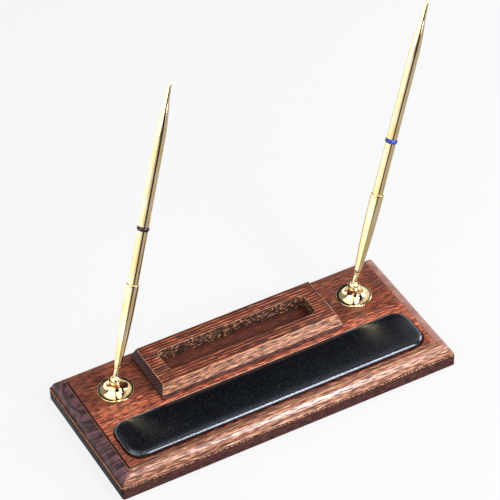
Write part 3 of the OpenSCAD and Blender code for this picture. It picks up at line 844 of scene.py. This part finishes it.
def swellPad(piece, foot):
    rest = [vertex.co.copy() for vertex in piece.data.vertices]
    held = piece.vertex_groups.new(name="held")
    held.add([v.index for v in piece.data.vertices if v.co.z < foot + pad["held"]], 1.0, "REPLACE")
    select(piece)
    cloth = piece.modifiers.new("swell", "CLOTH")
    cloth.settings.vertex_group_mass = "held"
    cloth.settings.use_pressure = True
    cloth.settings.uniform_pressure_force = pad["pressure"]
    cloth.settings.quality = pad["substeps"]
    cloth.settings.tension_stiffness = pad["stiffness"]
    cloth.settings.compression_stiffness = pad["stiffness"]
    cloth.settings.bending_stiffness = pad["bending"]
    cloth.settings.effector_weights.gravity = 0
    for step in range(1, pad["frames"] + 1):
        bpy.context.scene.frame_set(step)
    bpy.ops.object.modifier_apply(modifier=cloth.name)
    bpy.context.scene.frame_set(1)
    for vertex, old in zip(piece.data.vertices, rest):
        move = vertex.co - old
        if move.length > pad["swell"]:
            move *= pad["swell"] / move.length
        vertex.co = old + move
    piece.vertex_groups.clear()


def makePad():
    low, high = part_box("pad_cover")
    middle, reach = (low + high) / 2, ((high.x - low.x) / 2, (high.y - low.y) / 2)
    foot = low.z + pad["sink"]
    clearSelection()
    bpy.ops.mesh.primitive_grid_add(x_subdivisions=pad["columns"], y_subdivisions=pad["rows"], size=2)
    piece = startPiece("leatherPad")
    setMode("OBJECT")
    shapePad(piece, middle, reach, foot)
    setMode("EDIT")
    pick(piece, "EDGE", lambda edge: edge.is_boundary)
    extrude((0, 0, -pad["sink"]))
    shrink = ((reach[0] - pad["tuck"]) / reach[0], (reach[1] - pad["tuck"]) / reach[1], 1)
    resize(shrink, (middle.x, middle.y, low.z))
    bpy.ops.mesh.edge_face_add()
    endEdit()
    swellPad(piece, foot)
    applyModifier(piece, "smooth", "SUBSURF", {"levels": 1, "render_levels": 1})
    addFinishes(piece, {"cover": leather})
    finish(piece, "stand", ["pad_cover", "pad_filling"], angle=60)


# Felt glued under the board
feltSheet = {"corner": 0.002, "soften": 0.0004, "softenAngle": 60}


def makeFelt():
    low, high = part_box("felt_sheet")
    piece = roundedBlock("feltSheet", (low + high) / 2, high.x - low.x, high.y - low.y,
                         feltSheet["corner"], low.z, high.z)
    softenEdges(piece, feltSheet["soften"], feltSheet["softenAngle"])
    addFinishes(piece, {"sheet": felt})
    finish(piece, "stand", ["felt_sheet"], angle=40)


makeBoard()
makeBlock()
makePad()
makeFelt()
print("stand dressed")


# Swivel flange, turned: bead, hollow sweep, waist and the collar that holds the ball
flange = {"bead": 0.00035, "sweepRadius": 0.0117, "sweepHeight": 0.0075, "waist": 0.00405,
          "collar": 0.00425, "ballHeight": 0.009, "lip": 0.0009, "lipEdge": 0.00015, "socket": 0.00335,
          "footEdge": 0.0002, "rimRound": 0.0003}


def flangeOutline(radius):
    bead, wide, waist = flange["bead"], flange["sweepRadius"], flange["waist"]
    tall, edge, socket = flange["sweepHeight"], flange["rimRound"], flange["socket"]
    rim = flange["ballHeight"] + flange["lip"]
    throat = math.sqrt(socket ** 2 - flange["lip"] ** 2)
    lipAngle = math.degrees(math.asin(flange["lip"] / socket))
    outline = [(socket, flange["footEdge"]), (socket + flange["footEdge"], 0)]
    outline += arc((radius - bead, bead), (bead, bead), -90, 90, steps=12)
    outline += arc((wide, 2 * bead + tall), (wide - waist, tall), 270, 180, steps=36)
    outline += arc((flange["collar"] - edge, rim - edge), (edge, edge), 0, 90, steps=6)
    outline += [(throat + flange["lipEdge"], rim)]
    outline += arc((0, flange["ballHeight"]), (socket, socket), lipAngle, 0, steps=5)
    return outline + [outline[0]]


# Ball, neck and shoulder of the holder
stem = {"ball": 0.0033, "ballStart": -84, "neck": 0.0017, "neckFlare": 0.0006, "shoulder": 0.0021,
        "shoulderHeight": 0.0012, "length": 0.0094, "spigot": 0.0013, "spigotEnd": 0.01238}


def stemOutline():
    ball, neck, flare, length = stem["ball"], stem["neck"], stem["neckFlare"], stem["length"]
    tall = stem["shoulderHeight"]
    meet = math.degrees(math.acos((neck + flare) / ball))
    outline = [(0, -ball)] + arc((0, 0), (ball, ball), stem["ballStart"], meet, steps=28)
    start = outline[-1][1]
    outline += arc((neck + flare, start + flare), (flare, flare), 270, 180, steps=6)[1:]
    outline += [(neck, length - tall)]
    outline += arc((neck, length), (stem["shoulder"] - neck, tall), -90, 0, steps=5)[1:]
    spigot, end = stem["spigot"], stem["spigotEnd"]
    return outline + [(spigot, length), (spigot, end), (0, end)]


# Bullet-shaped funnel, open at its mouth
funnel = {"foot": 0.0022, "footEdge": 0.0003, "mouth": 0.0044, "start": 0.0094, "length": 0.0580,
          "steps": 36, "fullness": 2.2, "wall": 0.0004, "floor": 0.0030, "hole": 0.00132}


def funnelRadius(height):
    share = (height - funnel["start"]) / funnel["length"]
    return funnel["foot"] + (funnel["mouth"] - funnel["foot"]) * (1 - (1 - share) ** funnel["fullness"])


def funnelOutline():
    start, end = funnel["start"], funnel["start"] + funnel["length"]
    floor, wall, edge = start + funnel["floor"], funnel["wall"], funnel["footEdge"]
    heights = [start + (end - start) * i / funnel["steps"] for i in range(funnel["steps"] + 1)]
    outline = [(funnel["hole"], start), (funnelRadius(start) - edge, start)]
    outline += [(funnelRadius(h), h) for h in heights if start + edge < h < end - wall / 2]
    outline += arc((funnel["mouth"] - wall / 2, end - wall / 2), (wall / 2, wall / 2), 0, 180, steps=8)
    inside = [h for h in reversed(heights) if floor < h < end - wall]
    outline += [(funnelRadius(h) - wall, h) for h in inside]
    outline += [(funnelRadius(floor) - wall, floor), (funnel["hole"], floor)]
    return outline + [outline[0]]


# Pen, in lengths along its own axis from the middle of the ball
pen = {"barrel": 0.0036, "bore": 0.0028, "barrelStart": 0.0470, "ringStart": 0.1048, "ring": 0.0043,
       "ringHeight": 0.0026, "tailLength": 0.0839, "taper": 0.0263, "taperSteps": 24, "tailEnd": 0.0020,
       "fullness": 1.9, "finial": 0.0018, "finialTip": 0.0011, "tipEnd": 84, "finialLength": 0.0137,
       "edge": 0.00025}


def barrelOutline():
    start, end, edge = pen["barrelStart"], pen["ringStart"], pen["edge"]
    inside, outside = pen["bore"], pen["barrel"]
    return [(inside, start), (outside - edge, start), (outside, start + edge), (outside, end - edge),
            (outside - edge, end), (inside, end), (inside, start)]


def ringOutline():
    start, half = pen["ringStart"], pen["ringHeight"] / 2
    outline = [(pen["bore"], start), (pen["barrel"], start)]
    swell = (pen["ring"] - pen["barrel"], half)
    outline += arc((pen["barrel"], start + half), swell, -90, 90, steps=12)[1:]
    return outline + [(pen["bore"], start + 2 * half), (pen["bore"], start)]


def tailOutline():
    start = pen["ringStart"] + pen["ringHeight"]
    end = start + pen["tailLength"]
    bend, edge = end - pen["taper"], pen["edge"]
    outline = [(0, start), (pen["barrel"] - edge, start), (pen["barrel"], start + edge)]
    for i in range(pen["taperSteps"] + 1):
        share = i / pen["taperSteps"]
        radius = pen["barrel"] - (pen["barrel"] - pen["tailEnd"]) * share ** pen["fullness"]
        outline.append((radius, bend + pen["taper"] * share))
    return outline + [(0, end)]


def finialOutline():
    start = pen["ringStart"] + pen["ringHeight"] + pen["tailLength"]
    end = start + pen["finialLength"]
    tip = pen["finialTip"]
    outline = [(0, start), (pen["finial"], start)]
    outline += arc((0, end - tip), (tip, tip), 0, pen["tipEnd"], steps=10)
    return outline + [(0, end)]


def makeSide(side, ringFinish):
    ball = Vector(joints[side + "_turn"]["pos_m"])
    axis = Vector(joints[side + "_pen_pull"]["axis"]).normalized()
    lean = Matrix.Translation(ball) @ axis.to_track_quat("Z", "Y").to_matrix().to_4x4()
    low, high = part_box(side + "_escutcheon")
    upright = Matrix.Translation(((low.x + high.x) / 2, (low.y + high.y) / 2, low.z))
    holder, penBody = side + "_holder", side + "_pen"

    def dress(label, outline, place, body, node, angle, steps=96, material=gold):
        piece = turned(side + label, outline, place, steps)
        addFinishes(piece, {"all": material})
        finish(piece, body, [side + node], angle)

    dress("FlangeGold", flangeOutline((high.x - low.x) / 2), upright, "stand", "_escutcheon", 40)
    dress("StemGold", stemOutline(), lean, holder, "_ball_stem", 40, steps=64)
    dress("FunnelGold", funnelOutline(), lean, holder, "_funnel", 40)
    dress("BarrelGold", barrelOutline(), lean, penBody, "_pen_barrel", 30)
    dress("RingEnamel", ringOutline(), lean, penBody, "_pen_ring", 50, material=ringFinish)
    dress("TailGold", tailOutline(), lean, penBody, "_pen_tail", 30)
    dress("FinialGold", finialOutline(), lean, penBody, "_pen_finial", 40, steps=64)


makeSide("left", blackRing)
makeSide("right", blueRing)
print("swivels and pens dressed")


# Finishes of the CAD nodes that stay
nodeFinish = {"block_screws": steel, "pad_board": backing, "seat_cup": whitePlastic,
              "spring_washers": steel, "stud": steel, "washer": steel, "nut": steel,
              "funnel_liner": darkPlastic, "pen_nose": gold, "pen_refill": brightSteel}


def dressNodes():
    for name, node in frame["nodes"].items():
        kind = name.removeprefix("left_").removeprefix("right_")
        if kind in nodeFinish:
            node.data.materials.clear()
            node.data.materials.append(nodeFinish[kind])


dressNodes()


# Studio: pale floor, softboxes beside the camera and a surround that only mirrors see in detail
studio = {"floor": 8.0, "floorColour": (0.6, 0.6, 0.6, 1.0), "floorGlow": 0.85, "floorMirror": 0.42,
          "leftMirror": 1.1, "leftReach": (-0.02, 0.25), "ambient": 0.24, "white": (1, 1, 1, 1)}
softboxes = {
    "rightSoftbox": {"towards": (0.34, -0.66, 0.67), "away": 1.1, "size": (0.42, 0.36), "power": 9.0},
    "leftSoftbox": {"towards": (-0.74, -0.11, 0.67), "away": 1.1, "size": (0.85, 0.75), "power": 4.0},
    "frontSoftbox": {"towards": (0.48, -0.81, 0.33), "away": 1.2, "size": (0.5, 0.28), "power": 3.2},
    "endSoftbox": {"towards": (0.92, 0.05, 0.38), "away": 1.2, "size": (0.5, 0.4), "power": 7.0},
}


# 1 on rays from the camera, and 1 on rays that a mirror or glass sends on
def rayKinds(tree):
    seen, glossy, passed = (Wire(tree).add("ShaderNodeLightPath", output=name) for name in
                            ("Is Camera Ray", "Is Glossy Ray", "Is Transmission Ray"))
    return seen, seen.maths("MAXIMUM", glossy, passed)


def makeFloor():
    clearSelection()
    bpy.ops.mesh.primitive_plane_add(size=studio["floor"], location=(0, 0, 0))
    floor = bpy.context.object
    floor.name = "floor"
    material = bpy.data.materials.new("paleFloor")
    material.use_nodes = True
    tree = material.node_tree
    tree.nodes.clear()
    seen, mirrored = rayKinds(tree)
    lit = seen.maths("MAXIMUM", seen, mirrored)
    matt = seen.add("ShaderNodeBsdfDiffuse", None, {"Color": studio["floorColour"]})
    place = seen.add("ShaderNodeTexCoord", output="Object")
    turn = math.radians(view["azimuth"])
    aside = place.part(0) * math.cos(turn) + place.part(1) * math.sin(turn)
    mirror = studio["floorMirror"] + studio["leftMirror"] * (0 - aside).step(*studio["leftReach"])
    strength = seen + (1 - seen) * mirror
    glow = seen.add("ShaderNodeEmission", None, {"Color": studio["white"], "Strength": strength})
    both = seen.add("ShaderNodeMixShader", None, {0: lit * studio["floorGlow"], 1: matt, 2: glow})
    out = tree.nodes.new("ShaderNodeOutputMaterial")
    tree.links.new(both.socket, out.inputs["Surface"])
    floor.data.materials.append(material)


# What polished metal sees: a white horizon, two windows, pale walls behind and the dark camera stand.
# The limits are parts of a direction: aside to the camera's right, near towards it, and height
horizonLook = {"least": 0.02, "top": (0.10, 0.36), "glow": 0.62, "leftGlow": 1.3, "left": (0.02, 0.3)}
leftWindow = {"edge": (0.03, 0.06), "foot": (0.28, 0.36), "slant": (-0.96, -0.84), "back": (-0.5, -0.4),
              "glow": 1.3}
rightWindow = {"edges": (0.03, 0.06, 0.55, 0.70), "foot": (0.55, 0.65), "skew": 1.25,
               "slant": (-0.48, -0.40), "front": (0.80, 0.90), "glow": 1.9}
walls = {"front": (-0.5, 0.0), "right": (0.03, 0.35), "left": (0.08, 0.4), "leftGlow": 0.3}
cameraStand = {"edges": (0.08, 0.13, 0.60, 0.72), "near": (0.1, 0.3), "top": (0.45, 0.6), "depth": 0.95}


def makeWorld():
    world = bpy.data.worlds.new("studio")
    bpy.context.scene.world = world
    world.use_nodes = True
    tree = world.node_tree
    background = tree.nodes["Background"]
    seen, mirrored = rayKinds(tree)
    towards = seen.add("ShaderNodeTexCoord", output=0)  # direction of the ray
    turn = math.radians(view["azimuth"])
    aside = towards.part(0) * math.cos(turn) + towards.part(1) * math.sin(turn)
    near = towards.part(0) * math.sin(turn) - towards.part(1) * math.cos(turn)
    height = towards.part(2)
    toLeft = 0 - aside
    horizon = horizonLook["glow"] + horizonLook["leftGlow"] * toLeft.step(*horizonLook["left"])
    horizon *= 1 - height.step(*horizonLook["top"])
    left = toLeft.step(*leftWindow["edge"]) * height.step(*leftWindow["foot"])
    left *= (near + aside).step(*leftWindow["slant"]) * near.step(*leftWindow["back"])
    right = band(aside, rightWindow["edges"]) * height.step(*rightWindow["foot"])
    right *= (near - rightWindow["skew"] * aside).step(*rightWindow["slant"])
    right *= 1 - near.step(*rightWindow["front"])
    behind = aside.step(*walls["right"]) + walls["leftGlow"] * toLeft.step(*walls["left"])
    behind *= 1 - near.step(*walls["front"])
    stand = band(aside, cameraStand["edges"]) * near.step(*cameraStand["near"])
    stand *= 1 - height.step(*cameraStand["top"])
    windows = leftWindow["glow"] * left + rightWindow["glow"] * right
    surround = (horizonLook["least"] + horizon + windows + behind) * (1 - cameraStand["depth"] * stand)
    strength = seen + (1 - seen) * (mirrored * surround + (1 - mirrored) * studio["ambient"])
    tree.links.new(strength.socket, background.inputs["Strength"])
    background.inputs["Color"].default_value = studio["white"]


def makeSoftbox(name, box):
    light = bpy.data.lights.new(name, "AREA")
    light.shape = "RECTANGLE"
    light.size, light.size_y = box["size"]
    light.energy = box["power"]
    holder = bpy.data.objects.new(name, light)
    bpy.context.scene.collection.objects.link(holder)
    towards = Vector(box["towards"]).normalized()
    holder.location = towards * box["away"]
    holder.rotation_euler = towards.to_track_quat("Z", "Y").to_euler()


makeFloor()
makeWorld()
for softbox in softboxes.items():
    makeSoftbox(*softbox)
print("studio lit")

bpy.context.view_layer.update()
